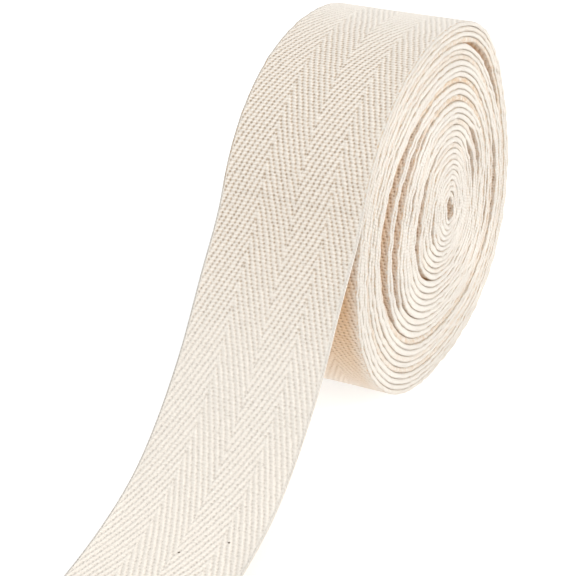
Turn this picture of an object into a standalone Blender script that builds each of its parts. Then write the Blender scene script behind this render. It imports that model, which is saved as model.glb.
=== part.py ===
"""A roll of flat cotton twill tape with its outer end drawn off onto the table.

The tape is wound on itself with no former.  It goes up the back of the roll, over the top and
leaves it high on the front.  The turns lie tight at the back and low down, and stand apart in
crescents on the front, so the eye of the roll sits behind and under its middle.

X runs along the roll's axis, +Y is the back of the roll and +Z is up.  The origin is the middle
of the flat on which the roll rests.  Sizes are in millimetres and degrees.
"""

import math
from collections import defaultdict, namedtuple

import bmesh
import bpy
import numpy as np

MM = 0.001

# The tape: one and a half inches wide
TAPE_WIDTH = 38.0
TAPE_THICKNESS = 1.2
PIECE_GAP = 0.3

# The roll's outline about its middle, as shares of the mean radius
MEAN_RADIUS = 53.1
Wave = namedtuple("Wave", "count cosine sine")
OUTLINE_WAVES = (
    Wave(2, 0.0506, -0.0401),
    Wave(3, -0.0075, -0.0233),
    Wave(4, -0.0112, -0.0126),
    Wave(5, -0.0030, -0.0051),
)
LEAVE_ANGLE = 158.8
OUTER_STEP = TAPE_THICKNESS + PIECE_GAP

# Where the roll stands: its middle over the table and ahead of the flat, which is pressed in a little
ROLL_MIDDLE_Y = -3.97
ROLL_MIDDLE_Z = 48.3

# The eye, measured from the roll's middle, and the oval hole that the first turn leaves
EYE_Y = 8.4
EYE_Z = -2.3
EYE_RADIUS = 3.2
EYE_OVALNESS = 0.22
TURNS = 30

# Crescents that stand open through the whole width, from the eye outwards
Crescent = namedtuple("Crescent", "turn middle half width")
CRESCENTS = (
    Crescent(6.1, 188.0, 48.0, 1.9),
    Crescent(11.5, 165.0, 42.0, 2.3),
    Crescent(19.4, 158.0, 42.0, 3.6),
    Crescent(21.0, 170.0, 48.0, 4.7),
    Crescent(23.2, 5.0, 42.0, 1.7),
    Crescent(27.2, 45.0, 42.0, 1.9),
)
# How far each group of turns between two crescents has crept along the axis
GROUP_CREEP = (0.5, -0.1, 0.3, -0.2, 0.3, -0.2, 0.0)

# The drawn-off end: its slope below level, along its length
Bend = namedtuple("Bend", "along slope")
LOOSE_BENDS = (
    Bend(11.0, 55.0),
    Bend(27.0, 53.9),
    Bend(42.0, 49.7),
    Bend(53.0, 47.0),
    Bend(65.0, 39.0),
    Bend(80.0, 23.2),
    Bend(95.0, 13.0),
    Bend(114.0, 6.7),
    Bend(136.0, 0.0),
)
LOOSE_LENGTH = 148.0

# Fineness of the two shapes
FACE_STEPS = 60
OUTLINE_SAMPLES = 720
LOOSE_SEGMENTS = 37
LOOSE_SAMPLES = 592
SLIGHTEST_OPENING = 0.15
LEVEL_DIGITS = 4
SHARP_ANGLE = 30.0

COTTON = (0.87, 0.80, 0.69, 1.0)
COTTON_ROUGHNESS = 0.9


def clear_scene():
    """Remove every object from the scene."""
    for item in list(bpy.data.objects):
        bpy.data.objects.remove(item, do_unlink=True)


def cotton_material(name):
    """Return a plain unbleached cotton material of its own."""
    material = bpy.data.materials.new(name)
    material.use_nodes = True
    shader = material.node_tree.nodes["Principled BSDF"]
    shader.inputs["Base Color"].default_value = COTTON
    shader.inputs["Roughness"].default_value = COTTON_ROUGHNESS
    return material


def outline():
    """Return the outermost turn as points about the roll's middle, from its start to where it leaves."""
    turn = np.linspace(0.0, 1.0, OUTLINE_SAMPLES + 1)
    angle = np.radians(LEAVE_ANGLE - 360.0 + 360.0 * turn)
    share = np.ones_like(angle)
    for wave in OUTLINE_WAVES:
        share += wave.cosine * np.cos(wave.count * angle) + wave.sine * np.sin(wave.count * angle)
    radius = MEAN_RADIUS * share + OUTER_STEP * (turn - 0.5)
    return np.column_stack((radius * np.cos(angle), radius * np.sin(angle)))


def outline_about_eye():
    """Return the outline's angle about the eye, rising, and its distance from the eye."""
    points = outline() - np.array((EYE_Y, EYE_Z))
    angle = np.unwrap(np.arctan2(points[:, 1], points[:, 0]))
    return angle, np.hypot(points[:, 0], points[:, 1])


def opening(crescent, angle):
    """Return how wide a crescent stands open at the given angles."""
    away = (angle - math.radians(crescent.middle) + math.pi) % (2.0 * math.pi) - math.pi
    share = np.cos(0.5 * math.pi * away / math.radians(crescent.half)) ** 2
    return np.where(np.abs(away) < math.radians(crescent.half), crescent.width * share, 0.0)


def eye_radius(angle):
    """Return the radius of the hole in the eye."""
    return EYE_RADIUS * (1.0 + EYE_OVALNESS * np.cos(2.0 * angle))


def group_edges():
    """Return each group's inner and outer edge as points (y, z), one per step round the eye.

    The last group's outer edge is the roll's outline, which has one more point: it ends a step
    higher than it starts.
    """
    sample_angle, sample_radius = outline_about_eye()
    angle = np.linspace(sample_angle[0], sample_angle[-1], FACE_STEPS + 1)
    outer = np.interp(angle, sample_angle, sample_radius)
    start = eye_radius(angle)
    open_width = [opening(crescent, angle) for crescent in CRESCENTS]
    slack = outer - start - TAPE_THICKNESS * TURNS - sum(open_width)
    centre = np.array((ROLL_MIDDLE_Y + EYE_Y, ROLL_MIDDLE_Z + EYE_Z))

    def points(radius, count):
        ring = np.column_stack((np.cos(angle), np.sin(angle))) * radius[:, None] + centre
        ring[:, 1] = np.maximum(ring[:, 1], 0.0)
        return [tuple(point) for point in ring[:count].tolist()]

    edges = []
    inner = points(start, FACE_STEPS)
    opened = np.zeros_like(angle)
    for crescent, width in zip(CRESCENTS, open_width):
        share = crescent.turn / TURNS
        radius = start + TAPE_THICKNESS * crescent.turn + slack * share + opened
        edges.append((inner, points(radius, FACE_STEPS)))
        inner = points(radius + np.where(width < SLIGHTEST_OPENING, 0.0, width), FACE_STEPS)
        opened = opened + width
    edges.append((inner, points(outer, FACE_STEPS + 1)))
    return edges


class Solid:
    """A closed shell that is built up from flat polygons with shared corners."""

    def __init__(self):
        self.mesh = bmesh.new()
        self.corners = {}
        self.levels = defaultdict(set)

    def corner(self, level, place):
        """Return the corner at a level along X and a place in the YZ plane."""
        key = (round(level, LEVEL_DIGITS), round(place[0], LEVEL_DIGITS), round(place[1], LEVEL_DIGITS))
        if key not in self.corners:
            self.corners[key] = self.mesh.verts.new([value * MM for value in key])
        return self.corners[key]

    def note_level(self, place, level):
        """Remember that a corner stands at this level over this place."""
        key = (round(place[0], LEVEL_DIGITS), round(place[1], LEVEL_DIGITS))
        self.levels[key].add(round(level, LEVEL_DIGITS))

    def upright(self, place, low, high):
        """Return the corners over a place from a low to a high level."""
        key = (round(place[0], LEVEL_DIGITS), round(place[1], LEVEL_DIGITS))
        found = sorted(level for level in self.levels[key] | {low, high} if low <= level <= high)
        return [self.corner(level, place) for level in found]

    def face(self, corners):
        """Add one flat polygon."""
        self.mesh.faces.new(corners)

    def wall(self, first, second, low, high):
        """Add a wall between two places, seen from the right of the way from first to second."""
        low, high = round(low, LEVEL_DIGITS), round(high, LEVEL_DIGITS)
        if low < high:
            self.face(self.upright(first, low, high) + self.upright(second, low, high)[::-1])

    def finish(self, name):
        """Turn the shell into a named object with its own material."""
        bmesh.ops.recalc_face_normals(self.mesh, faces=self.mesh.faces)
        data = bpy.data.meshes.new(name)
        self.mesh.to_mesh(data)
        self.mesh.free()
        data.shade_smooth()
        data.set_sharp_from_angle(angle=math.radians(SHARP_ANGLE))
        data.materials.append(cotton_material(name + "_cotton"))
        item = bpy.data.objects.new(name, data)
        bpy.context.collection.objects.link(item)
        return item


def build_wound_roll():
    """Build the wound roll: groups of turns with the main crescents open between them."""
    solid = Solid()
    edges = group_edges()
    half = 0.5 * TAPE_WIDTH
    fronts = [half + creep for creep in GROUP_CREEP]
    backs = [creep - half for creep in GROUP_CREEP]
    for (inner, outer), front, back in zip(edges, fronts, backs):
        for place in inner + outer:
            solid.note_level(place, front)
            solid.note_level(place, back)

    last = len(edges) - 1
    for group, (inner, outer) in enumerate(edges):
        for step in range(FACE_STEPS):
            after = (step + 1) % FACE_STEPS
            far = outer[step + 1] if group == last else outer[after]
            ring = [inner[step], outer[step], far, inner[after]]
            if group == last and step == FACE_STEPS - 1:
                ring.insert(3, outer[0])
            solid.face([solid.corner(fronts[group], place) for place in ring])
            solid.face([solid.corner(backs[group], place) for place in reversed(ring)])

    core = edges[0][0]
    for step in range(FACE_STEPS):
        solid.wall(core[step], core[(step + 1) % FACE_STEPS], backs[0], fronts[0])

    for group in range(last):
        inside, outside = edges[group][1], edges[group + 1][0]
        for step in range(FACE_STEPS):
            after = (step + 1) % FACE_STEPS
            if inside[step] == outside[step] and inside[after] == outside[after]:
                for one, other in ((fronts[group], fronts[group + 1]), (backs[group], backs[group + 1])):
                    solid.wall(inside[step], inside[after], min(one, other), max(one, other))
            else:
                solid.wall(inside[step], inside[after], backs[group], fronts[group])
                solid.wall(outside[step], outside[after], backs[group + 1], fronts[group + 1])

    rim = edges[last][1]
    flat = [step for step in range(FACE_STEPS) if rim[step][1] == 0.0 and rim[step + 1][1] == 0.0]
    for step in range(FACE_STEPS):
        if step not in flat:
            solid.wall(rim[step], rim[step + 1], backs[last], fronts[last])
    rest = rim[flat[0]:flat[-1] + 2]
    solid.face([solid.corner(fronts[last], place) for place in rest]
               + [solid.corner(backs[last], place) for place in reversed(rest)])
    solid.wall(rim[0], rim[FACE_STEPS], backs[last], fronts[last])
    return solid.finish("wound_roll")


def loose_run():
    """Return the drawn-off end's outer surface as points (y, z) with the slope at each."""
    middle = np.array((ROLL_MIDDLE_Y, ROLL_MIDDLE_Z))
    turn = outline() + middle
    leaving = turn[-1] - turn[-2]
    first = math.degrees(math.atan2(-leaving[1], -leaving[0]))
    along = np.linspace(PIECE_GAP, LOOSE_LENGTH, LOOSE_SAMPLES + 1)
    places = [0.0] + [bend.along for bend in LOOSE_BENDS]
    slopes = [first] + [bend.slope for bend in LOOSE_BENDS]
    slope = np.radians(np.interp(along, places, slopes))
    spacing = along[1] - along[0]
    middle_slope = 0.5 * (slope[1:] + slope[:-1])
    start = turn[-1] - PIECE_GAP * np.array((math.cos(slope[0]), math.sin(slope[0])))
    y = start[0] - np.concatenate(((0.0,), np.cumsum(np.cos(middle_slope)))) * spacing
    z = start[1] - np.concatenate(((0.0,), np.cumsum(np.sin(middle_slope)))) * spacing
    return y, z, slope


def build_loose_end():
    """Build the drawn-off end as one flat strip that bends down to the table."""
    solid = Solid()
    y, z, slope = loose_run()
    every = LOOSE_SAMPLES // LOOSE_SEGMENTS
    half = 0.5 * TAPE_WIDTH
    upper = []
    lower = []
    for index in range(0, LOOSE_SAMPLES + 1, every):
        height = max(z[index], TAPE_THICKNESS)
        upper.append((y[index], height))
        under_y = y[index] + TAPE_THICKNESS * math.sin(slope[index])
        under_z = height - TAPE_THICKNESS * math.cos(slope[index])
        lower.append((under_y, max(under_z, 0.0)))
    for step in range(len(upper) - 1):
        for side in (half, -half):
            ring = [upper[step], upper[step + 1], lower[step + 1], lower[step]]
            solid.face([solid.corner(side, place) for place in (ring if side > 0.0 else ring[::-1])])
        solid.wall(upper[step], upper[step + 1], -half, half)
        solid.wall(lower[step], lower[step + 1], -half, half)
    solid.wall(upper[0], lower[0], -half, half)
    solid.wall(upper[-1], lower[-1], -half, half)
    return solid.finish("loose_end")


def main():
    """Build the roll and its drawn-off end."""
    clear_scene()
    build_wound_roll()
    build_loose_end()


if __name__ == "__main__":
    main()
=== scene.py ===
"""Looks for a roll of unbleached cotton twill tape with its outer end drawn off onto the table.

The tape is one long ribbon: it starts at the eye, winds outwards, leaves the roll high on the front
and bends down to the table.  Lengths are in millimetres until a mesh is made, and angles in degrees.
X runs along the roll's axis, +Y is the back of the roll and +Z is up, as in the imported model.
"""

import logging
import math
from dataclasses import dataclass, field, fields
from enum import Enum
from typing import Any, Callable, Union

import bpy
import numpy as np
from mathutils import Matrix


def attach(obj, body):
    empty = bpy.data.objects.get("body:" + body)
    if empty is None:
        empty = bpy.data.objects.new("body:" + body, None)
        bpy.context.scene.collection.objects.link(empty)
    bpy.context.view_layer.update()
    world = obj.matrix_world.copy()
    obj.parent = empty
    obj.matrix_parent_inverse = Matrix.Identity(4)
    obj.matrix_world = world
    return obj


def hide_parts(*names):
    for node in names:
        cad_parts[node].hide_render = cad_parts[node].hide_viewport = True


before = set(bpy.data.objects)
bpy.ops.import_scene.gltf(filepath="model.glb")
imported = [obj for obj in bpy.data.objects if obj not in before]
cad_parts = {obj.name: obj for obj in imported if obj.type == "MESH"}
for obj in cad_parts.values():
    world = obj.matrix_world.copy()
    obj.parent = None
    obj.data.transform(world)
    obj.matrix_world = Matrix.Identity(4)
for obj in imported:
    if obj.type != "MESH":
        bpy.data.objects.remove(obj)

LOG = logging.getLogger("twill_tape")
MM = 0.001
TURN = 2.0 * math.pi
BODY = "root"
BAKE_MAP = "OFBake"
PLACE = "tape_place"
# The attribute that carries how much painted shade each point gets
DEPTH = "tape_depth"
ON_FACE = 0.99  # a point whose side is beyond this lies on a face and not round an edge

Array = np.ndarray
Colour = tuple[float, float, float]
Limits = tuple[float, float]


def ramp(value: Array, low: float, high: float) -> Array:
    """Rise evenly from 0 at low to 1 at high, or fall where low is the larger."""
    return np.clip((value - low) / (high - low), 0.0, 1.0)


def eased(share: Array) -> Array:
    """Round off both ends of a rise from 0 to 1."""
    return share * share * (3.0 - 2.0 * share)


def sampled(places: Array, known: Array, points: Array) -> Array:
    """Return points (y, z) at places between the known ones."""
    return np.column_stack([np.interp(places, known, points[:, axis]) for axis in (0, 1)])


def outward_of(heading: Array) -> Array:
    """Return the directions (y, z), one unit long, that stand out from these headings."""
    unit = heading / np.hypot(heading[:, 0], heading[:, 1])[:, None]
    return np.column_stack((unit[:, 1], -unit[:, 0]))


def added(name: str, data: bpy.types.ID) -> bpy.types.Object:
    """Put a new object with this data into the scene."""
    item = bpy.data.objects.new(name, data)
    bpy.context.collection.objects.link(item)
    return item


class Slot(Enum):
    """The record's material slots."""

    ROLLED = "rolled_tape"
    LOOSE = "loose_tape"


@dataclass(frozen=True)
class Ripple:
    """A smooth, repeatable wobble along a length: a few waves with seeded starts."""

    waves: tuple[float, ...]
    seed: int

    def at(self, places: Array) -> Array:
        """Return values between about -1 and 1 for places in the unit of the waves."""
        starts = np.random.default_rng(self.seed).uniform(0.0, TURN, len(self.waves))
        total = sum(np.sin(TURN * places / wave + start) for wave, start in zip(self.waves, starts))
        return total / math.sqrt(len(self.waves))


@dataclass(frozen=True)
class Tape:
    """The flat tape: its size, and the count of its weave."""

    width: float = 38.0
    body: float = 1.07
    selvedge: float = 1.13
    selvedge_band: float = 0.7
    selvedge_reach: float = 1.3
    squareness: float = 0.6
    pick: float = 38.0 / 41.0
    end: float = 38.0 / 102.0
    repeat: float = 4.0
    turning_points: tuple[float, float, float] = (-8.36, 1.29, 10.15)
    rib_height: float = 0.03
    rib_start: float = 0.6

    @property
    def half(self) -> float:
        """Half of the width."""
        return 0.5 * self.width

    def zigzag(self, across: Any) -> Any:
        """Return the distance across, a shader's too, that folds back where the twill turns."""
        first, second, third = self.turning_points
        return abs(across - second) - abs(across - first) - abs(across - third)

    def rib(self, across: Array, along: Array) -> Array:
        """Return the ribs' height at places across, from the middle, and along, from the roll."""
        phase = self.zigzag(across) / (self.repeat * self.end) + along / (self.repeat * self.pick)
        inside = np.clip((self.half - np.abs(across)) / self.selvedge_band - self.rib_start, 0.0, 1.0)
        return self.rib_height * np.cos(TURN * phase) * inside

    def half_thickness(self, across: Array) -> Array:
        """Return half the thickness, which is fuller at the selvedges."""
        from_edge = self.half - np.abs(across)
        fuller = (self.selvedge - self.body) * np.exp(-(from_edge / self.selvedge_reach) ** 2)
        return 0.5 * (self.body + fuller)


@dataclass(frozen=True)
class Wave:
    """One wave of the roll's outline, as shares of its mean radius."""

    count: int
    cosine: float
    sine: float


@dataclass(frozen=True)
class Outline:
    """The outermost turn's outer surface, seen along the roll's axis."""

    mean_radius: float = 53.1
    waves: tuple[Wave, ...] = (
        Wave(2, 0.0506, -0.0401),
        Wave(3, -0.0075, -0.0233),
        Wave(4, -0.0112, -0.0126),
        Wave(5, -0.0030, -0.0051),
    )
    leave_angle: float = 158.8
    step: float = 1.5
    middle: tuple[float, float] = (-3.97, 48.3)
    samples: int = 1440

    def points(self) -> Array:
        """Return the outermost turn as points (y, z), from its start to where the tape leaves."""
        turn = np.linspace(0.0, 1.0, self.samples + 1)
        angle = np.radians(self.leave_angle - 360.0 + 360.0 * turn)
        share = np.ones_like(angle)
        for wave in self.waves:
            share += wave.cosine * np.cos(wave.count * angle) + wave.sine * np.sin(wave.count * angle)
        radius = self.mean_radius * share + self.step * (turn - 0.5)
        return np.column_stack((radius * np.cos(angle), radius * np.sin(angle))) + self.middle


@dataclass(frozen=True)
class Crescent:
    """A place where the turns stand apart through the whole width."""

    turn: float
    middle: float
    half: float
    width: float

    def share(self, angle: Array) -> Array:
        """Return how open the crescent is at total angles about its own, from 0 to 1."""
        away = (angle - math.radians(self.middle) + math.pi) % TURN - math.pi
        lobe = np.cos(0.5 * math.pi * away / math.radians(self.half)) ** 2
        return np.where(np.abs(away) < math.radians(self.half), lobe, 0.0)


@dataclass
class Ribbon:
    """A stretch of tape, row by row: where its middle runs and which way it faces."""

    along: Array
    middle: Array
    outward: Array
    shift: Array
    curl: Array
    # depth, recess and groove decide only how much painted shade a row gets, not its shape
    depth: Array
    recess: Array
    groove: Array
    outer_full: Array
    inner_full: Array
    cup: Array


@dataclass(frozen=True)
class Winding:
    """How the tape is wound: the eye, the turns and the crescents between them."""

    outline: Outline = Outline()
    eye: tuple[float, float] = (2.3, 47.7)
    eye_radius: float = 2.9
    eye_ovalness: float = 0.25
    eye_tilt: float = 100.0
    turns: int = 30
    pitch: float = 1.17
    tuck: float = 0.42
    tuck_depth: float = 0.9
    tuck_bend: float = 1.5
    crescents: tuple[Crescent, ...] = (
        Crescent(5.1, 185.0, 50.0, 1.4),
        Crescent(11.4, 25.0, 50.0, 1.6),
        Crescent(10.5, 167.0, 40.0, 2.6),
        Crescent(13.6, 28.0, 52.0, 1.7),
        Crescent(14.0, 160.0, 34.0, 1.1),
        Crescent(17.4, 165.0, 51.0, 4.1),
        Crescent(18.4, -15.0, 38.0, 1.5),
        Crescent(20.0, 166.0, 46.0, 4.2),
        Crescent(20.9, -8.0, 42.0, 1.9),
        Crescent(25.0, -90.0, 55.0, 0.4),
        Crescent(26.2, 50.0, 46.0, 2.2),
    )
    creep_turns: tuple[float, ...] = (0.0, 5.0, 9.0, 14.0, 20.0, 21.5, 25.0, 28.0, 30.0)
    creep: tuple[float, ...] = (0.45, 0.35, -0.1, 0.25, -0.15, 0.3, -0.15, 0.1, 0.0)
    creep_jitter: float = 0.3
    knot_step: float = 0.7
    edge_wobble: float = 0.13
    edge_waves: tuple[float, ...] = (17.3, 9.1, 6.1, 4.3)
    end_fade: float = 0.2
    rough_turns: Limits = (8.0, 19.0)
    least_rough: float = 0.25
    rough_lean: float = 0.34
    rough_side: float = 40.0
    # groove_contrast, streaks and streak_waves set how much painted shade the grooves between turns get
    groove_contrast: float = 1.6
    streaks: float = 0.25
    streak_waves: tuple[float, ...] = (41.0, 19.0, 7.7)
    slack_spread: float = 0.6
    slack_steepness: float = 1.45
    fill: Limits = (2.1, 2.6)
    # full_recess: how far an edge must lie behind its neighbours to take full painted shade; wedge: how far
    # into the outermost turn the painted shade of the roll's depth reaches
    full_recess: float = 0.45
    wedge: float = 0.2
    seed: int = 11
    samples_per_turn: int = 720

    def about_eye(self) -> tuple[Array, Array]:
        """Return the outline's angle about the eye, rising, and its distance from the eye."""
        points = self.outline.points() - np.array(self.eye)
        angle = np.unwrap(np.arctan2(points[:, 1], points[:, 0]))
        return angle, np.hypot(points[:, 0], points[:, 1])

    @property
    def end_angle(self) -> float:
        """The total angle about the eye where the tape leaves the roll."""
        return self.about_eye()[0][-1]

    def slack_share(self, turn: Array) -> Array:
        """Return how much of the loose room lies inside each turn, from 0 at the eye to 1."""
        steps = np.random.default_rng(self.seed).lognormal(0.0, self.slack_spread, self.turns - 1)
        total = np.concatenate(((0.0,), np.cumsum(steps))) / steps.sum()
        return np.interp(turn, np.arange(self.turns), total)

    def hole(self, angle: Array) -> Array:
        """Return the eye's radius at angles about it."""
        oval = np.cos(2.0 * (angle - math.radians(self.eye_tilt)))
        return self.eye_radius * (1.0 + self.eye_ovalness * oval)

    def loose_room(self, angle: Array) -> Array:
        """Return the room left at each total angle once all turns and crescents fit."""
        sample_angle, sample_radius = self.about_eye()
        end = sample_angle[-1]
        last_angle = end - (end - angle) % TURN
        last_turn = (last_angle - end) / TURN + self.turns
        growth = self.outline.step - self.pitch
        outer = np.interp(last_angle, sample_angle, sample_radius) - 0.5 * self.pitch
        room = outer - self.hole(angle) - self.pitch * (last_turn + 0.5)
        room -= growth * (last_turn - self.turns + 1.0)
        return room - sum(crescent.width * crescent.share(angle) for crescent in self.crescents)

    def reach(self, angle: Array) -> Array:
        """Work out how far the tape's middle runs from the eye.

        Args:
            angle: total angle about the eye, which rises along the tape.

        Returns:
            The distance from the eye at each angle.
        """
        end = self.end_angle
        start = end - TURN * self.turns
        turn = (angle - start) / TURN
        radius = self.hole(angle) + self.pitch * (turn + 0.5)
        for crescent in self.crescents:
            middle = math.radians(crescent.middle)
            rounds = round((start + TURN * (crescent.turn - 0.5) - middle) / TURN)
            opens = middle + TURN * rounds + math.pi
            radius += np.where(angle > opens, crescent.width * crescent.share(angle), 0.0)
        share = self.slack_share(turn)
        least = self.loose_room(np.linspace(end - TURN, end, 361)[:-1]).min()
        radius += least * share + (self.loose_room(angle) - least) * share ** self.slack_steepness
        growth = self.outline.step - self.pitch
        radius += growth * np.maximum(turn - self.turns + 1.0, 0.0)
        return radius - self.tuck_depth * ramp(turn, 0.0, -self.tuck) ** self.tuck_bend

    def fuller(self, gap: Array) -> Array:
        """Return how much fuller a selvedge is on the side where its neighbour is a gap away."""
        touching, apart = self.fill
        filled = 0.5 * (np.minimum(gap, touching) - self.pitch)
        return np.maximum(filled * ramp(gap, apart, touching), 0.0)

    def cupped(self, gap: Array) -> Array:
        """Return how far the tape's middle bows towards a neighbour that is a gap away."""
        return 0.5 * np.maximum(gap - self.pitch, 0.0) * ramp(gap, self.pitch, self.fill[0])

    def path(self) -> tuple[Array, ...]:
        """Follow the tape's middle from the eye to where it leaves.

        Returns:
            The turn at each sample, its points (y, z), its distance along the tape, which is zero
            where the tape leaves, how much fuller it is outside and inside, and how far it cups.
        """
        end = self.end_angle
        count = int((self.turns + self.tuck) * self.samples_per_turn)
        angle = np.linspace(end - TURN * (self.turns + self.tuck), end, count + 1)
        radius = self.reach(angle)
        points = np.column_stack((np.cos(angle), np.sin(angle))) * radius[:, None] + np.array(self.eye)
        along = np.concatenate(((0.0,), np.cumsum(np.hypot(*np.diff(points, axis=0).T))))
        turn = (angle - end) / TURN + self.turns
        outer_gap = np.where(turn < self.turns - 1.0, self.reach(angle + TURN) - radius, self.pitch)
        inner_gap = np.where(turn > 1.0, radius - self.reach(angle - TURN), self.pitch)
        cup = self.cupped(outer_gap) - self.cupped(inner_gap)
        return turn, points, along - along[-1], self.fuller(outer_gap), self.fuller(inner_gap), cup

    def roughness(self, turn: Array) -> Array:
        """Return how untidily each place of the roll is wound, from 0 to 1."""
        angle = self.end_angle + TURN * turn
        facing = 1.0 - self.rough_lean + self.rough_lean * np.cos(angle - math.radians(self.rough_side))
        return (self.least_rough + (1.0 - self.least_rough) * ramp(turn, *self.rough_turns)) * facing

    def edges(self, turn: Array, length: Array) -> tuple[Array, Array, Array]:
        """Work out how the selvedges lie on the roll's end.

        Args:
            turn: the turn at each sample of the path.
            length: the distance along the tape there.

        Returns:
            How far the tape has crept along the axis, how far its near edge lies behind its
            neighbours, which only sets painted shade, and how much painted shade the grooves beside
            it get.
        """
        chance = np.random.default_rng(self.seed + 1)
        knots = np.arange(0.0, self.turns + 2.0, self.knot_step)
        jitter = np.interp(turn, knots, chance.uniform(-1.0, 1.0, len(knots)))
        rough = self.roughness(turn)
        fade = ramp(self.turns - turn, 0.0, self.end_fade)
        shift = np.interp(turn, self.creep_turns, self.creep) + self.creep_jitter * rough * jitter * fade
        per_turn = self.samples_per_turn
        before = np.concatenate((shift[:per_turn], shift[:-per_turn]))
        after = np.concatenate((shift[per_turn:], shift[-per_turn:]))
        recess = (0.5 * (before + after) - shift) / self.full_recess
        strong = np.interp(turn, knots, chance.random(len(knots)) ** self.groove_contrast)
        streaks = 1.0 - self.streaks + self.streaks * Ripple(self.streak_waves, self.seed + 4).at(length)
        wobble = self.edge_wobble * Ripple(self.edge_waves, self.seed + 2).at(length)
        return shift + wobble * fade, recess, np.clip(strong * rough * streaks, 0.0, 1.0)

    def ribbon(self, along: Array) -> Ribbon:
        """Return the tape's rows at rising places along it, below or at zero."""
        turn, points, length, *sides = self.path()
        outward = outward_of(sampled(along, length, np.gradient(points, length, axis=0)))
        at_turn = np.interp(along, length, turn)
        shift, recess, groove = (np.interp(along, length, line) for line in self.edges(turn, length))
        fade = ramp(self.turns - at_turn, 0.0, self.end_fade)
        # Painted shade for the inner turns, fading out over the start of the outermost turn, under the
        # drawn-off end
        depth = ramp(self.turns - 1.0 + self.wedge - at_turn, 0.0, self.wedge)
        return Ribbon(along, sampled(along, length, points), outward, shift, np.zeros_like(along), depth,
                      recess, groove, *(np.interp(along, length, side) * fade for side in sides))


@dataclass(frozen=True)
class Bend:
    """A slope below level at a place along the drawn-off end."""

    along: float
    slope: float


@dataclass(frozen=True)
class DrawnEnd:
    """The end of the tape that is drawn off the roll down to the table."""

    length: float = 148.0
    bends: tuple[Bend, ...] = (
        Bend(11.0, 55.0), Bend(27.0, 53.9), Bend(42.0, 49.7), Bend(53.0, 47.0), Bend(65.0, 39.0),
        Bend(80.0, 23.2), Bend(95.0, 13.0), Bend(114.0, 6.7), Bend(136.0, 0.0),
    )
    rest_height: float = 1.2
    smoothing: float = 9.0
    step: float = 0.1
    seam_length: float = 25.0
    settling_length: float = 40.0
    curl: float = 0.35
    curl_heights: Limits = (0.6, 6.6)
    sway: float = 0.2

    def ribbon(self, along: Array, winding: Winding) -> Ribbon:
        """Lay the drawn-off end out.

        Args:
            along: rising places along the tape, from zero where it leaves the roll.
            winding: the roll that it leaves.

        Returns:
            The rows of the tape there.
        """
        turn = winding.outline.points()
        leaving = winding.ribbon(np.array((-0.01, 0.0)))
        first = math.degrees(math.atan2(-leaving.outward[-1, 0], leaving.outward[-1, 1]))
        fine = np.arange(0.0, self.length + self.step, self.step)
        places = [0.0] + [bend.along for bend in self.bends]
        slopes = [first] + [bend.slope for bend in self.bends]
        slope = np.radians(np.interp(fine, places, slopes))
        half_step = 0.5 * (slope[1:] + slope[:-1])
        y, z = (start - np.concatenate(((0.0,), np.cumsum(part(half_step)))) * self.step
                for start, part in zip(turn[-1], (np.cos, np.sin)))
        line = np.column_stack((y, np.maximum(z, self.rest_height)))
        reach = int(self.smoothing / self.step) // 2
        window = np.hanning(2 * reach + 1)
        window /= window.sum()
        rough = np.vstack((2.0 * line[0] - line[reach:0:-1], line,
                           2.0 * line[-1] - line[-2:-reach - 2:-1]))
        smooth = np.column_stack([np.convolve(rough[:, axis], window, "valid") for axis in (0, 1)])
        outward = outward_of(sampled(along, fine, np.gradient(smooth, self.step, axis=0)))
        middle = sampled(along, fine, smooth) - outward * 0.5 * self.rest_height
        seam = eased(1.0 - ramp(along, 0.0, self.seam_length))
        middle += (leaving.middle[-1] - sampled(np.zeros(1), along, middle)) * seam[:, None]
        fade = ramp(along, 0.0, self.settling_length)
        curl = self.curl * fade * Ripple((61.0, 37.0), 5).at(along)
        curl *= ramp(middle[:, 1], *self.curl_heights)
        shift = self.sway * fade * Ripple((83.0, 47.0), 6).at(along)
        return Ribbon(along, middle, outward, shift, curl, *[np.zeros_like(along)] * 6)


@dataclass(frozen=True)
class Section:
    """The points round the tape's cross-section: outer face, near edge, inner face, far edge."""

    outer_points: int
    inner_points: int
    edge_points: int = 7
    few: int = 20
    crowding: float = 2.2

    def ring(self, tape: Tape) -> tuple[Array, Array, Array, Array]:
        """Work the ring out.

        Args:
            tape: the tape's size.

        Returns:
            For each point, its place across, its height from the tape's middle, its place on the
            weave, which runs on round the edges, and its side, from 1 outside to -1 inside.
        """
        radius = 0.5 * tape.selvedge
        flat = tape.half - radius
        turn = np.linspace(0.5 * math.pi, -0.5 * math.pi, self.edge_points + 2)[1:-1]
        outer = self.spread(self.outer_points, flat)
        inner = -self.spread(self.inner_points, flat)
        out = radius * np.cos(turn) ** tape.squareness
        up = radius * np.sign(turn) * np.abs(np.sin(turn)) ** tape.squareness
        across = np.concatenate((outer, flat + out, inner, -flat - out))
        height = np.concatenate((tape.half_thickness(outer), up, -tape.half_thickness(inner), -up))
        run = flat + radius * (0.5 * math.pi - turn)
        weave = np.concatenate((outer, run, inner, -run))
        side = np.concatenate((np.ones_like(outer), np.sin(turn), -np.ones_like(inner), -np.sin(turn)))
        return across, height, weave, side

    def spread(self, count: int, flat: float) -> Array:
        """Return places across a face, evenly or, where they are few, closer at the edges."""
        even = np.linspace(-1.0, 1.0, count)
        crowded = np.sign(even) * (1.0 - (1.0 - np.abs(even)) ** self.crowding)
        return flat * (even if count > self.few else crowded)


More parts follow.
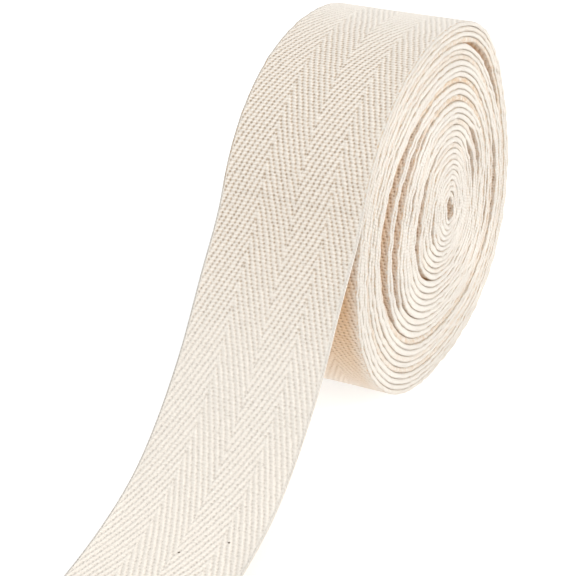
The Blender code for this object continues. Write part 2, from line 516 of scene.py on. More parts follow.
@dataclass
class TapeSweep:
    """Sweeps a cross-section along a ribbon and cuts it into named pieces."""

    tape: Tape
    section: Section
    relief: bool
    curl_band: float = 5.0
    full_band: float = 1.6
    bow_band: Limits = (4.5, 13.5)
    # dark_band and groove_sharpness shape the painted shade: on faces deep in the roll it fades in away from
    # the edges, and round the edges it gathers where they meet the faces
    dark_band: Limits = (0.4, 3.4)
    groove_sharpness: float = 4.0
    strip_length: float = 80.0
    margin: float = 0.006
    border: float = 0.03
    strips_top: float = 0.97
    cap_corner: Limits = (0.05, 0.975)
    cap_size: Limits = (0.9, 0.01)

    def vertices(self, ribbon: Ribbon) -> tuple[Array, Array, Array]:
        """Place every point of every row.

        Args:
            ribbon: the rows.

        Returns:
            Places in metres, the weave's place and how much painted shade each point gets, from its
            depth in the roll or from its edge's recess and groove, as rows of rings.
        """
        across, height, weave, side = self.section.ring(self.tape)
        along = ribbon.along[:, None]
        from_edge = self.tape.half - np.abs(across)
        on_face = np.abs(side) > ON_FACE
        full = np.where(height > 0.0, ribbon.outer_full[:, None], ribbon.inner_full[:, None])
        full = full * np.exp(-(from_edge / self.full_band) ** 2) * 2.0 / self.tape.selvedge
        curled = ribbon.curl[:, None] * ramp(from_edge, self.curl_band, 0.0) ** 2
        raised = height * (1.0 + full) + 0.5 * curled
        raised = raised + ribbon.cup[:, None] * eased(ramp(from_edge, *self.bow_band))
        if self.relief:
            raised = raised + self.tape.rib(across, along) * np.where(on_face, side, 0.0)
        x = across + ribbon.shift[:, None]
        y = ribbon.middle[:, :1] + ribbon.outward[:, :1] * raised
        z = np.maximum(ribbon.middle[:, 1:] + ribbon.outward[:, 1:] * raised, 0.0)
        places = np.stack((x, y, z), axis=-1) * MM
        on_weave = np.stack(np.broadcast_arrays(weave, along, side), axis=-1)
        # Painted shade: faces deep in the roll darken away from the edges, and edges on the roll darken where
        # they lie behind their neighbours or beside a groove
        between = np.where(side > ON_FACE, ribbon.depth[:, None], 1.0) * ramp(from_edge, *self.dark_band)
        behind = np.clip(ribbon.recess[:, None] * np.sign(across), 0.0, 1.0)
        beside = ribbon.groove[:, None] * np.abs(side) ** self.groove_sharpness
        on_edge = np.maximum(behind, beside) * (along < 0.0)
        return places, on_weave, np.where(on_face, between, on_edge)

    @staticmethod
    def normals(places: Array) -> Array:
        """Return smooth outward normals of rows of closed rings."""
        along = np.gradient(places, axis=0)
        around = np.roll(places, -1, axis=1) - np.roll(places, 1, axis=1)
        normal = np.cross(along, around)
        return normal / np.maximum(np.linalg.norm(normal, axis=-1, keepdims=True), 1e-12)

    def piece(self, name: str, places: Array, weave: Array, inside: Array,
              normals: Array) -> bpy.types.Object:
        """Make one closed piece of rows of rings.

        Args:
            name: the piece's name.
            places: corners in metres, as rows of rings.
            weave: each corner's place on the weave.
            inside: how much painted shade each corner gets, from its depth in the roll or its groove.
            normals: smooth normals, which run on over the seams to the next piece.

        Returns:
            The new object.
        """
        rows, ring = places.shape[:2]
        index = np.arange(rows * ring).reshape(rows, ring)
        after = np.roll(index, -1, axis=1)
        quads = np.stack((index[:-1], index[1:], after[1:], after[:-1]), axis=-1).reshape(-1, 4)
        faces = quads.tolist() + self.cap(index[0][::-1]) + self.cap(index[-1])
        mesh = bpy.data.meshes.new(name)
        mesh.from_pydata(places.reshape(-1, 3).tolist(), [], faces)
        for label, kind, key, values in ((PLACE, "FLOAT_VECTOR", "vector", weave),
                                         (DEPTH, "FLOAT", "value", inside)):
            layer = mesh.attributes.new(label, kind, "POINT")
            layer.data.foreach_set(key, values.reshape(-1).astype(np.float32))
        self.unwrap(mesh, rows, ring, len(quads), weave)
        mesh.update()
        mesh.shade_smooth()
        mesh.normals_split_custom_set_from_vertices(normals.reshape(-1, 3).tolist())
        return added(name, mesh)

    @staticmethod
    def cap(ring: Array) -> list[list[int]]:
        """Return faces that close a ring: quads between the outer and inner face."""
        loop = ring.tolist()
        faces = []
        low, high = 0, len(loop) - 1
        while high - low > 2:
            faces.append([loop[low], loop[low + 1], loop[high - 1], loop[high]])
            low, high = low + 1, high - 1
        if high - low == 2:
            faces.append([loop[low], loop[low + 1], loop[high]])
        return faces

    def unwrap(self, mesh: bpy.types.Mesh, rows: int, ring: int, sides: int, weave: Array) -> None:
        """Lay the piece out flat in strips for baking.

        Args:
            mesh: the piece's mesh.
            rows: how many rows it has.
            ring: how many points a row has.
            sides: how many of its faces run round it; the rest are its caps.
            weave: each corner's place on the weave.
        """
        length = float(weave[-1, 0, 1] - weave[0, 0, 1])
        strips = max(1, round(math.sqrt(length / self.strip_length)))
        per_strip = math.ceil((rows - 1) / strips)
        row, column = np.divmod(np.arange(sides), ring)
        strip, step = np.divmod(row, per_strip)
        left = np.stack((step, step + 1, step + 1, step), axis=-1) / per_strip
        low = np.stack((column, column, column + 1, column + 1), axis=-1) / ring
        u = self.margin + left * (1.0 - 2.0 * self.margin)
        v = (strip[:, None] + self.border + low * (1.0 - 2.0 * self.border)) * self.strips_top / strips
        corner = np.arange(len(mesh.loops) - sides * 4)
        cap_u = self.cap_corner[0] + self.cap_size[0] * corner / max(len(corner), 1)
        cap_v = self.cap_corner[1] + self.cap_size[1] * (corner % 2)
        flat = np.concatenate([np.stack(pair, axis=-1).reshape(-1) for pair in ((u, v), (cap_u, cap_v))])
        layer = mesh.uv_layers.new(name=BAKE_MAP)
        layer.uv.foreach_set("vector", flat.astype(np.float32))


def operator(kind: str) -> Callable[..., "Signal"]:
    """Make a method that adds a Math node of this kind."""

    def method(self: "Signal", *others: "Value") -> "Signal":
        """Add the node and return its result."""
        return self.shader.maths(kind, self, *others)

    return method


class Signal:
    """A shader socket that takes part in Python arithmetic by adding Math nodes."""

    __add__ = __radd__ = operator("ADD")
    __sub__ = operator("SUBTRACT")
    __mul__ = __rmul__ = operator("MULTIPLY")
    __truediv__ = operator("DIVIDE")
    __abs__ = operator("ABSOLUTE")
    __pow__ = operator("POWER")
    fraction = operator("FRACT")
    floor = operator("FLOOR")

    def __init__(self, shader: "Shader", socket: bpy.types.NodeSocket) -> None:
        """Wrap a socket of a shader."""
        self.shader = shader
        self.socket = socket

    def __rsub__(self, other: "Value") -> "Signal":
        """Subtract this from another value."""
        return self.shader.maths("SUBTRACT", other, self)

    def cosine(self) -> "Signal":
        """Take the cosine of the value in whole turns."""
        return self.shader.maths("COSINE", self * TURN)

    def clamped(self) -> "Signal":
        """Keep the value between 0 and 1."""
        return self.shader.maths("ADD", self, 0.0, clamp=True)

    def step(self, low: float, high: float) -> "Signal":
        """Rise smoothly from 0 at low to 1 at high, or fall where low is the larger."""
        falls = low > high
        first, last = min(low, high), max(low, high)
        node = self.shader.node("ShaderNodeMapRange", {"interpolation_type": "SMOOTHSTEP"},
                                {"Value": self, "From Min": first, "From Max": last})
        value = Signal(self.shader, node.outputs["Result"])
        return 1.0 - value if falls else value


Value = Union[Signal, float]


class Shader:
    """A new material's nodes, with short ways to add them."""

    def __init__(self, name: str) -> None:
        """Start a material with a principled shader."""
        self.material = bpy.data.materials.new(name)
        self.material.use_nodes = True
        self.tree = self.material.node_tree
        self.surface = self.tree.nodes["Principled BSDF"]

    def node(self, kind: str, settings: dict[str, Any], values: dict[Any, Any]) -> bpy.types.Node:
        """Add a node.

        Args:
            kind: its type.
            settings: its own settings, which are set first.
            values: a value or a link for each input, by name or number.

        Returns:
            The new node.
        """
        node = self.tree.nodes.new(kind)
        for name, value in settings.items():
            setattr(node, name, value)
        for name, value in values.items():
            self.feed(node.inputs[name], value)
        return node

    def feed(self, socket: bpy.types.NodeSocket, value: Any) -> None:
        """Set an input, or link it where the value is a socket."""
        if isinstance(value, Signal):
            self.tree.links.new(value.socket, socket)
        elif isinstance(value, tuple) and len(value) == 3 and socket.type == "RGBA":
            socket.default_value = (*value, 1.0)
        else:
            socket.default_value = value

    def maths(self, operation: str, *values: Value, clamp: bool = False) -> Signal:
        """Add a Math node and return its result."""
        node = self.node("ShaderNodeMath", {"operation": operation, "use_clamp": clamp},
                         dict(enumerate(values)))
        return Signal(self, node.outputs[0])

    def attribute(self, name: str, output: str) -> Signal:
        """Read one of the mesh's attributes."""
        return Signal(self, self.node("ShaderNodeAttribute", {"attribute_name": name}, {}).outputs[output])

    def own_place(self) -> Signal:
        """Return the place in the object's own frame, in metres."""
        return Signal(self, self.node("ShaderNodeTexCoord", {}, {}).outputs["Object"])

    def split(self, vector: Signal) -> tuple[Signal, Signal, Signal]:
        """Return a vector's three values."""
        node = self.node("ShaderNodeSeparateXYZ", {}, {0: vector})
        return tuple(Signal(self, output) for output in node.outputs)

    def vector(self, x: Value, y: Value, z: Value) -> Signal:
        """Join three values into a vector."""
        return Signal(self, self.node("ShaderNodeCombineXYZ", {}, {0: x, 1: y, 2: z}).outputs[0])

    def noise(self, at: Signal, scale: float, detail: float = 2.0, rough: float = 0.5) -> Signal:
        """Return smooth noise about zero, from about -0.5 to 0.5."""
        node = self.node("ShaderNodeTexNoise", {"noise_dimensions": "3D"},
                         {"Vector": at, "Scale": scale, "Detail": detail, "Roughness": rough})
        return Signal(self, node.outputs[0]) - 0.5

    def chance(self, first: Signal, second: Signal) -> tuple[Signal, Signal, Signal]:
        """Return three chance values from 0 to 1 for each pair of whole numbers."""
        node = self.node("ShaderNodeTexWhiteNoise", {"noise_dimensions": "2D"},
                         {"Vector": self.vector(first, second, 0.0)})
        return self.split(Signal(self, node.outputs["Color"]))

    def mix(self, share: Value, first: Any, second: Any) -> Signal:
        """Mix two colours."""
        node = self.node("ShaderNodeMix", {"data_type": "RGBA"}, {0: share, 6: first, 7: second})
        return Signal(self, node.outputs[2])

    def bump(self, height: Signal, distance: float, strength: float = 1.0) -> Signal:
        """Return the normals of a surface that is raised by up to a distance in millimetres."""
        node = self.node("ShaderNodeBump", {}, {"Strength": strength, "Distance": distance * MM,
                                                "Height": height})
        return Signal(self, node.outputs[0])

    def dressed(self, values: dict[str, Any]) -> bpy.types.Material:
        """Set or link inputs of the principled shader and return the material."""
        for name, value in values.items():
            self.feed(self.surface.inputs[name], value)
        return self.material


@dataclass(frozen=True)
class Fleck:
    """A speck of seed husk on the tape."""

    across: float
    along: float
    size: float
    side: float = 1.0


@dataclass(frozen=True)
class TwillCotton:
    """Unbleached cotton twill that turns back in a herringbone, with a plain selvedge.

    The limits for the zones of more and of less painted shade, and the seam limits, are places
    along the tape between which a zone comes in or goes out.  The edge limits are distances from
    the tape's edge, and the side limits run from 0 at the edge's crown to 1 on a face.
    """

    name: str
    tape: Tape
    cream: Colour = (0.85, 0.78, 0.70)
    pale: Colour = (0.885, 0.84, 0.775)
    # Dark brown painted as shade in the weave's holes, and also the tone of the dark flecks of grain
    hole: Colour = (0.42, 0.31, 0.21)
    shade: Colour = (0.60, 0.47, 0.35)
    # Warm brown painted as shade deep in the roll, under the drawn-off end and round recessed or grooved turn
    # edges, and the colour of the painted glow there
    shade_and_glow_tint: Colour = (0.70, 0.425, 0.18)
    husk: Colour = (0.10, 0.06, 0.035)
    roughness: float = 0.86
    roughness_grain: float = 0.16
    sheen: float = 0.18
    sheen_roughness: float = 0.5
    specular: float = 0.2
    flecks: tuple[Fleck, ...] = ()
    jitter: float = 0.25
    hole_width: float = 0.36
    hole_height: float = 0.25
    bump: float = 0.3
    # How strongly the deep places and the grooves between turns shine warm, as painted light
    glow: float = 0.0
    side_step: float = 40.0
    wander_scale: float = 0.35
    cloud_scale: float = 0.045
    grain_stretch: Limits = (0.7, 2.6)
    dash_stretch: Limits = (0.6, 0.75)
    fuzz_stretch: Limits = (1.1, 1.3)
    # Limits of the zones of more and of less painted shade
    more_shade_limits: tuple[Limits, ...] = ((-78.0, -38.0), (50.0, 0.0), (-270.0, -300.0))
    less_shade_limits: tuple[Limits, ...] = ((-45.0, -75.0), (-300.0, -270.0))
    seam_limits: Limits = (1.0, -3.0)
    selvedge_edge: Limits = (1.0, 0.4)
    tick_edge: Limits = (0.7, 0.4)
    round_edge: Limits = (0.65, 0.45)
    seam_side: Limits = (0.72, 0.98)
    glow_side: Limits = (0.95, 0.99)
    grain_limits: Limits = (0.62, 0.95)
    more_shade_holes: float = 0.85
    least_holes: float = 0.13
    cloudy_holes: float = 0.55
    far_holes: float = 0.2
    rib_shade: float = 0.11
    rib_change: float = 0.06
    brick_shade: float = 0.75
    furrow_shade: float = 0.6
    weave_shade: float = 0.75
    selvedge_share: float = 0.3
    seam_share: float = 0.85
    hole_share: float = 0.7
    tick_share: float = 0.28
    grain_share: float = 0.12
    seam_glow: float = 0.45

    def material(self) -> bpy.types.Material:
        """Build the material."""
        shader = Shader(self.name)
        across, along, side = shader.split(shader.attribute(PLACE, "Vector"))
        # How much painted warm shade a point gets: deep in the roll, under the drawn-off end, and round turn
        # edges that lie behind their neighbours or beside a groove
        depth = shader.attribute(DEPTH, "Fac")
        apart = side * self.side_step
        flat = shader.vector(across, along, apart)
        wander = shader.noise(flat, self.wander_scale)
        wide, tall = self.grain_stretch
        grain = shader.noise(shader.vector(across * wide, along * tall, apart), 1.0, 3.0, 0.6)
        cloud = shader.noise(flat, self.cloud_scale, 3.0)
        row = along / self.tape.pick + wander * (2.0 * self.jitter)
        lattice = self.lattice(across, wander)
        on_edge = self.towards_edge(across, self.selvedge_edge)
        on_face = 1.0 - on_edge
        # Where painted shade falls in the weave's holes and in the furrows between floats; both also sink the
        # relief
        holes, brick = self.holes(shader, row, lattice, 0.0)
        holes = (holes + self.holes(shader, row, lattice, 0.5)[0] * self.far_holes) * on_face
        brick = brick * on_face
        ribs = (lattice + row / self.tape.repeat).cosine()
        rounds = row.cosine()
        furrow = (0.5 - 0.5 * rounds) ** 2.0
        ticks = self.ticks(row, side, wander) * self.towards_edge(across, self.tick_edge)

        # Zones of more painted shade: the roll's front from the top down to where the tape leaves, fading out
        # over the first 50 mm of the drawn-off end, and the outermost turn's start under the drawn-off end.
        # The zone of less painted shade runs round the roll's bottom, back and top.
        near, off, under = (along.step(*limits) for limits in self.more_shade_limits)
        more_shade = near * off + under
        behind, above = (along.step(*limits) for limits in self.less_shade_limits)
        strength = more_shade * self.more_shade_holes + self.least_holes + cloud * self.cloudy_holes
        colour = shader.mix(cloud + 0.5, self.cream, self.pale)
        # Painted shade of the weave: the ribs' hollows and the furrows between floats and between picks
        rib_shade = self.rib_shade + self.rib_change * more_shade - self.rib_change * (behind * above)
        shade = (0.5 - 0.5 * ribs) * rib_shade
        weave = brick * self.brick_shade + furrow * self.furrow_shade
        shade = shade + weave * (strength * self.weave_shade)
        shade = (on_face * shade * (grain * 1.7 + 0.85)).clamped()
        rounded = self.towards_edge(across, self.round_edge)
        wide, tall = self.dash_stretch
        dashes = shader.noise(shader.vector(across * wide, along * tall, side), 1.0, 3.0, 0.65)
        # Painted shade: a dashed warm line where each edge meets the faces, in the groove between
        # neighbouring turns on the roll
        seam = rounded * abs(side).step(*self.seam_side) * (dashes * 3.4 + 0.3).clamped()
        seam = seam * along.step(*self.seam_limits)
        broken = (rounded * (dashes * 3.0 - 0.45) + 0.95).clamped()
        specks = [(self.speck(across, along, side, fleck, grain), self.husk) for fleck in self.flecks]
        # Tints over the cloth's own tone: paler selvedge, painted shade of the weave, painted warm shade deep
        # in the roll, painted warm shade in the grooves between turns, painted shade in the weave's holes,
        # selvedge ticks, dark grain and husk specks
        for share, tint in [(on_edge * self.selvedge_share, self.pale),
                            (shade, self.shade),
                            ((depth * broken).clamped(), self.shade_and_glow_tint),
                            (seam * self.seam_share, self.shade_and_glow_tint),
                            ((holes * strength).clamped() * self.hole_share, self.hole),
                            (ticks * self.tick_share, self.shade),
                            ((grain + 0.5).step(*self.grain_limits) * self.grain_share, self.hole)] + specks:
            colour = shader.mix(share, colour, tint)
        # Painted glow: warm light given off deep in the roll and in the grooves, standing in for light
        # bounced and scattered between the turns
        if self.glow:
            within = depth * abs(side).step(*self.glow_side) + seam * self.seam_glow
            shader.dressed({"Emission Color": shader.mix(within.clamped(), (0.0, 0.0, 0.0), self.shade_and_glow_tint),
                            "Emission Strength": self.glow})

        wide, tall = self.fuzz_stretch
        fuzz = shader.noise(shader.vector(side * wide, along * tall, across), 1.0, 3.0, 0.7) * rounded
        relief = on_face * (ribs * 0.12 + rounds * 0.09) - brick * 0.2 - holes * 0.45
        height = relief - ticks * 0.5 + grain * 0.9 + fuzz * 2.6
        return shader.dressed({
            "Base Color": colour, "Roughness": (grain * self.roughness_grain + self.roughness).clamped(),
            "Sheen Weight": self.sheen, "Sheen Roughness": self.sheen_roughness,
            "Specular IOR Level": self.specular, "Normal": shader.bump(height, self.bump)})

    def towards_edge(self, across: Signal, limits: Limits) -> Signal:
        """Rise from 0 to 1 between two distances from the tape's edge, the farther one first."""
        return abs(across).step(self.tape.half - limits[0], self.tape.half - limits[1])

    def lattice(self, across: Signal, wander: Signal) -> Signal:
        """Return the place across in repeats of four ends, folded back where the twill turns."""
        return (self.tape.zigzag(across) + wander * self.jitter) / (self.tape.repeat * self.tape.end)

    def holes(self, shader: Shader, row: Signal, lattice: Signal, offset: float) -> tuple[Signal, Signal]:
        """Work out the small holes where the picks dive under the ends, and the painted shade in them.

        Args:
            shader: the material's nodes.
            row: the place along the tape in picks.
            lattice: the place across in repeats.
            offset: how far the holes are set aside, in repeats.

        Returns:
            How much painted shade darkens the hole, from 0 to about 1, and the furrow between one
            float and the next.
        """
        pick = row.floor()
        repeat = lattice + (pick / self.tape.repeat + offset)
        chance = shader.chance(repeat.floor(), pick + offset)
        over = repeat.fraction() - 0.5 + (chance[0] - 0.5) * 0.2
        down = row.fraction() - 0.5 + (chance[1] - 0.5) * 0.24
        wide = over * (self.tape.repeat * self.tape.end / self.hole_width)
        tall = down * (self.tape.pick / self.hole_height)
        brick = (0.5 + 0.5 * over.cosine()) ** 3.0
        return (wide * wide + tall * tall).step(1.3, 0.05) * (chance[2] * 0.75 + 0.4), brick

    @staticmethod
    def ticks(row: Signal, side: Signal, wander: Signal) -> Signal:
        """Return the slanting marks where the picks turn round the selvedge."""
        lean = row + side * 0.32 + wander * 0.5
        return abs(lean.fraction() - 0.5).step(0.24, 0.03) * (wander + 0.75).clamped()

    @staticmethod
    def speck(across: Signal, along: Signal, side: Signal, fleck: Fleck, grain: Signal) -> Signal:
        """Return the mark of one speck of husk."""
        over, down = across - fleck.across, along - fleck.along
        away = (over * over + down * down * 1.6) ** 0.5 + grain * (0.6 * fleck.size)
        return away.step(fleck.size, 0.55 * fleck.size) * abs(side - fleck.side).step(0.6, 0.4)


@dataclass(frozen=True)
class YarnCotton:
    """Bare cotton yarn, twisted, for the tips at the cut end."""

    name: str
    cream: Colour = (0.93, 0.875, 0.79)
    shade: Colour = (0.72, 0.58, 0.43)
    twists: float = 2400.0
    fluff_scale: float = 2600.0
    bump: float = 0.08
    bump_strength: float = 0.7

    def material(self) -> bpy.types.Material:
        """Build the material."""
        shader = Shader(self.name)
        at = shader.own_place()
        x, y, z = shader.split(at)
        twist = ((x + y * 0.8 + z * 0.8) * self.twists).fraction()
        groove = abs(twist - 0.5).step(0.5, 0.2)
        fluff = shader.noise(at, self.fluff_scale, 3.0)
        shaded = (groove * 0.35 + fluff * 0.4).clamped()
        return shader.dressed({
            "Base Color": shader.mix(shaded, self.cream, self.shade),
            "Roughness": (fluff * 0.2 + 0.88).clamped(),
            "Normal": shader.bump(fluff - groove, self.bump, self.bump_strength)})


@dataclass(frozen=True)
class FloorPaper:
    """Matt white paper for the floor."""

    name: str = "floor_paper"
    light: Colour = (0.66, 0.66, 0.66)
    dark: Colour = (0.64, 0.64, 0.64)
    glow: float = 0.5
    tooth_scale: float = 300.0
    roughness: float = 0.95
    specular: float = 0.1

    def material(self) -> bpy.types.Material:
        """Build the material."""
        shader = Shader(self.name)
        tooth = shader.noise(shader.own_place(), self.tooth_scale, 3.0)
        return shader.dressed({
            "Base Color": shader.mix((tooth + 0.5).clamped(), self.light, self.dark),
            "Roughness": self.roughness, "Specular IOR Level": self.specular,
            "Emission Color": (1.0, 1.0, 1.0), "Emission Strength": self.glow})


@dataclass
class TapeRoll:
    """The whole tape: the turns on the roll, the outermost turn and the drawn-off end."""

    tape: Tape = field(default_factory=Tape)
    winding: Winding = field(default_factory=Winding)
    drawn: DrawnEnd = field(default_factory=DrawnEnd)
    row_step: float = 0.62
    loose_row_step: float = 0.36
    wound_row_step: float = 1.17
    eye_row_step: float = 0.7
    eye_rows: float = 120.0
    fine: Section = Section(outer_points=140, inner_points=9)
    loose: Section = Section(outer_points=140, inner_points=36)
    coarse: Section = Section(outer_points=5, inner_points=5, edge_points=6)

    def outer_turn_start(self) -> float:
        """Return where the outermost turn starts along the tape."""
        turn, _, length, *_ = self.winding.path()
        return float(np.interp(self.winding.turns - 1.0, turn, length))

    @staticmethod
    def rows(first: float, last: float, step: float) -> Array:
        """Return evenly spread places from first to last."""
        return np.linspace(first, last, max(2, round((last - first) / step)) + 1)

    def swept(self, name: str, ribbon: Ribbon, section: Section, relief: bool, lead: int,
              tail: int) -> bpy.types.Object:
        """Sweep a ribbon into a piece, leaving off the rows that only steady its normals.

        Args:
            name: the piece's name.
            ribbon: the rows, with spare ones at the ends.
            section: the cross-section.
            relief: whether the ribs stand out in the mesh.
            lead: how many spare rows it starts with.
            tail: how many spare rows it ends with.

        Returns:
            The new object.
        """
        sweep = TapeSweep(self.tape, section, relief)
        places, weave, inside = sweep.vertices(ribbon)
        normals = sweep.normals(places)
        keep = slice(lead, len(places) - tail)
        return sweep.piece(name, places[keep], weave[keep], inside[keep], normals[keep])

    def build_wound_turns(self) -> bpy.types.Object:
        """Build every turn but the outermost."""
        first = float(self.winding.path()[2][0])
        close = self.rows(first, first + self.eye_rows, self.eye_row_step)
        wide = self.rows(first + self.eye_rows, self.outer_turn_start(), self.wound_row_step)
        places = np.concatenate((close, wide[1:]))
        return self.swept("wound_turns", self.winding.ribbon(places), self.coarse, False, 0, 0)

    def joined_ribbon(self, along: Array) -> Ribbon:
        """Return the rows at places on both sides of where the tape leaves the roll."""
        on_roll = self.winding.ribbon(along[along < 0.0])
        off_roll = self.drawn.ribbon(along[along >= 0.0], self.winding)
        both = [np.concatenate((getattr(on_roll, part.name), getattr(off_roll, part.name)))
                for part in fields(Ribbon)]
        return Ribbon(*both)

    def build_outer_turn(self) -> bpy.types.Object:
        """Build the outermost turn, whose outer face shows all round."""
        places = self.rows(self.outer_turn_start(), 0.0, self.row_step)
        spare = np.array((places[1] - places[0],))
        return self.swept("outer_turn", self.joined_ribbon(np.concatenate((places, spare))),
                          self.fine, True, 0, 1)

    def build_loose_end(self) -> bpy.types.Object:
        """Build the drawn-off end."""
        places = self.rows(0.0, self.drawn.length, self.loose_row_step)
        spare = np.array((places[0] - places[1],))
        return self.swept("loose_tape", self.joined_ribbon(np.concatenate((spare, places))),
                          self.loose, True, 1, 0)


@dataclass
class CutYarns:
    """The tips of the warp yarns at the cut end."""

    tape: Tape
    ribbon: Ribbon
    count: int = 96
    radius: float = 0.17
    spread: float = 0.985
    shortest: float = 0.25
    longest: float = 1.5
    rarity: float = 2.2
    inset: float = 0.25
    lean: float = 0.35
    rise: float = 0.27
    uneven: float = 0.08
    droop: Limits = (-0.1, 0.16)
    rings: tuple[Limits, ...] = ((-0.1, 1.0), (0.45, 1.05), (0.85, 0.8), (1.0, 0.3))
    lowest: float = 0.02
    sides: int = 6
    seed: int = 23

    def build(self) -> bpy.types.Object:
        """Build all the tips as one piece."""
        chance = np.random.default_rng(self.seed)
        corners: list[list[float]] = []
        faces: list[list[int]] = []
        last = self.ribbon.middle[-1]
        for layer in (-1.0, 1.0):
            for number in range(self.count):
                across = self.tape.half * (2.0 * (number + 0.5) / self.count - 1.0) * self.spread
                long = self.shortest + (self.longest - self.shortest) * chance.random() ** self.rarity
                lean = chance.uniform(-self.lean, self.lean)
                rise = self.rise * layer + chance.uniform(-self.uneven, self.uneven)
                droop = chance.uniform(*self.droop)
                root = (across + self.ribbon.shift[-1], last[0] + self.inset, last[1] + rise)
                self.tip(corners, faces, root, long, lean, droop)
        mesh = bpy.data.meshes.new("cut_yarns")
        mesh.from_pydata([[value * MM for value in corner] for corner in corners], [], faces)
        mesh.update()
        mesh.shade_smooth()
        return added("cut_yarns", mesh)

    def tip(self, corners: list[list[float]], faces: list[list[int]], root: tuple[float, float, float],
            long: float, lean: float, droop: float) -> None:
        """Add one tapered tip.

        Args:
            corners: the corners so far, which grow.
            faces: the faces so far, which grow.
            root: where the tip starts.
            long: how far it stands out.
            lean: how far it leans across, for each unit of length.
            droop: how far it rises or falls, for each unit of length.
        """
        start = len(corners)
        for share, full in self.rings:
            reach = self.inset + long * share
            for side in range(self.sides):
                turn = TURN * side / self.sides
                size = self.radius * full
                height = root[2] + droop * long * share + size * math.sin(turn)
                corners.append([root[0] + lean * long * share + size * math.cos(turn),
                                root[1] - reach, max(height, self.lowest)])
        for ring in range(len(self.rings) - 1):
            for side in range(self.sides):
                one = start + ring * self.sides + side
                two = start + ring * self.sides + (side + 1) % self.sides
                faces.append([one, one + self.sides, two + self.sides, two][::-1])
        faces.append([start + side for side in range(self.sides)][::-1])
        end = start + (len(self.rings) - 1) * self.sides
        faces.append([end + side for side in range(self.sides)])


@dataclass(frozen=True)
class Lamp:
    """A large soft square lamp, placed in metres, with its power in watts."""

    name: str
    place: tuple[float, float, float]
    power: float
    colour: Colour


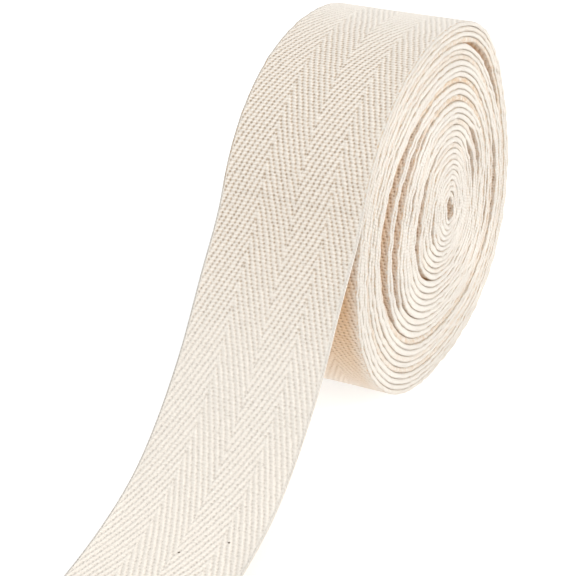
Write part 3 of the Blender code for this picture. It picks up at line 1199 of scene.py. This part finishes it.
@dataclass
class Studio:
    """The floor, the lights and the camera."""

    azimuth: float = 25.99
    elevation: float = 26.34
    distance: float = 462.7
    aim: tuple[float, float, float] = (0.0, -3.97, 48.3)
    aside: float = -23.89
    below: float = -23.80
    lens: float = 106.04
    sensor: float = 36.0
    clip: Limits = (0.01, 50.0)
    floor_size: float = 6.0
    room_light: float = 0.69
    room_colour: Colour = (1.0, 0.995, 0.985)
    lamp_size: float = 0.9
    lamp_aim: tuple[float, float, float] = (0.0, -0.05, 0.05)
    lamps: tuple[Lamp, ...] = (
        Lamp("key", (-0.25, -0.5, 1.1), 2.6, (0.86, 0.94, 1.0)),
        Lamp("right", (1.25, -0.05, 0.45), 17.5, (1.0, 0.985, 0.955)),
        Lamp("left", (-1.25, -0.1, 0.45), 4.5, (1.0, 0.99, 0.97)),
    )

    @staticmethod
    def posed(right: Array, up: Array, back: Array, place: Array) -> Matrix:
        """Return the matrix of a thing whose directions and place, in metres, are known."""
        rows = [[right[row], up[row], back[row], place[row]] for row in range(3)]
        return Matrix(rows + [[0.0, 0.0, 0.0, 1.0]])

    def axes(self) -> tuple[Array, Array, Array]:
        """Return the camera's right, up and back directions."""
        turn, rise = math.radians(self.azimuth), math.radians(self.elevation)
        back = np.array((math.sin(turn) * math.cos(rise), -math.cos(turn) * math.cos(rise), math.sin(rise)))
        right = np.array((math.cos(turn), math.sin(turn), 0.0))
        return right, np.cross(back, right), back

    def add_camera(self) -> None:
        """Place the camera at the photograph's angle."""
        right, up, back = self.axes()
        place = np.array(self.aim) + right * self.aside + up * self.below + back * self.distance
        data = bpy.data.cameras.new("camera")
        data.sensor_width = self.sensor
        data.lens = self.lens
        data.clip_start, data.clip_end = self.clip
        camera = added("camera", data)
        camera.matrix_world = self.posed(right, up, back, place * MM)
        bpy.context.scene.camera = camera

    def add_light(self, lamp: Lamp) -> None:
        """Add a lamp that looks at the roll."""
        data = bpy.data.lights.new(lamp.name, "AREA")
        data.size = self.lamp_size
        data.energy = lamp.power
        data.color = lamp.colour
        back = np.array(lamp.place) - np.array(self.lamp_aim)
        back /= np.linalg.norm(back)
        right = np.cross((0.0, 0.0, 1.0), back)
        right /= np.linalg.norm(right)
        item = added(lamp.name, data)
        item.matrix_world = self.posed(right, np.cross(back, right), back, lamp.place)

    def add_world(self) -> None:
        """Fill the room with even light."""
        world = bpy.data.worlds.new("room")
        world.use_nodes = True
        back = world.node_tree.nodes["Background"]
        back.inputs["Color"].default_value = (*self.room_colour, 1.0)
        back.inputs["Strength"].default_value = self.room_light
        bpy.context.scene.world = world

    def add_floor(self) -> None:
        """Lay the floor just under the roll."""
        half = 0.5 * self.floor_size
        mesh = bpy.data.meshes.new("floor")
        mesh.from_pydata([(-half, -half, 0.0), (half, -half, 0.0), (half, half, 0.0), (-half, half, 0.0)],
                         [], [(0, 1, 2, 3)])
        floor = added("floor", mesh)
        floor.data.materials.append(FloorPaper().material())

    def build(self) -> None:
        """Set everything up."""
        self.add_camera()
        self.add_world()
        for lamp in self.lamps:
            self.add_light(lamp)
        self.add_floor()
        bpy.context.scene.view_settings.view_transform = "Standard"


def report(piece: bpy.types.Object) -> None:
    """Log a piece's size."""
    sides = sum(len(face.vertices) - 2 for face in piece.data.polygons)
    LOG.info("%s: %d triangles", piece.name, sides)


def main() -> None:
    """Build the roll and its setting."""
    logging.basicConfig(level=logging.INFO, format="%(name)s: %(message)s")
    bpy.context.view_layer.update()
    roll = TapeRoll()
    flecks = (Fleck(12.0, 84.75, 0.36), Fleck(2.25, 91.0, 0.36))
    edge_fleck = Fleck(19.3, -3819.75, 0.4, 0.0)
    twill = TwillCotton("herringbone_twill", roll.tape, flecks=flecks).material()
    # The wound turns' twill glows a little as painted light deep in the roll and in the grooves
    inner_twill = TwillCotton("inner_twill", roll.tape, glow=0.15, flecks=(edge_fleck,)).material()

    wound = roll.build_wound_turns()
    outer = roll.build_outer_turn()
    loose = roll.build_loose_end()
    end_rows = roll.drawn.ribbon(roll.rows(0.0, roll.drawn.length, 1.0), roll.winding)
    yarns = CutYarns(roll.tape, end_rows).build()

    for piece, finish in ((wound, inner_twill), (outer, twill), (loose, twill)):
        piece.data.materials.append(finish)
    yarns.data.materials.append(YarnCotton("bare_yarn").material())
    for piece, slot in ((wound, Slot.ROLLED), (outer, Slot.ROLLED), (loose, Slot.LOOSE), (yarns, Slot.LOOSE)):
        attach(piece, BODY)
        report(piece)
    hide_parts("wound_roll")
    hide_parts("wound_roll")
    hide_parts("loose_end")

    outer_length = -roll.outer_turn_start() * MM
    wound_length = -float(roll.winding.path()[2][0]) * MM - outer_length
    Studio().build()


if __name__ == "__main__":
    main()
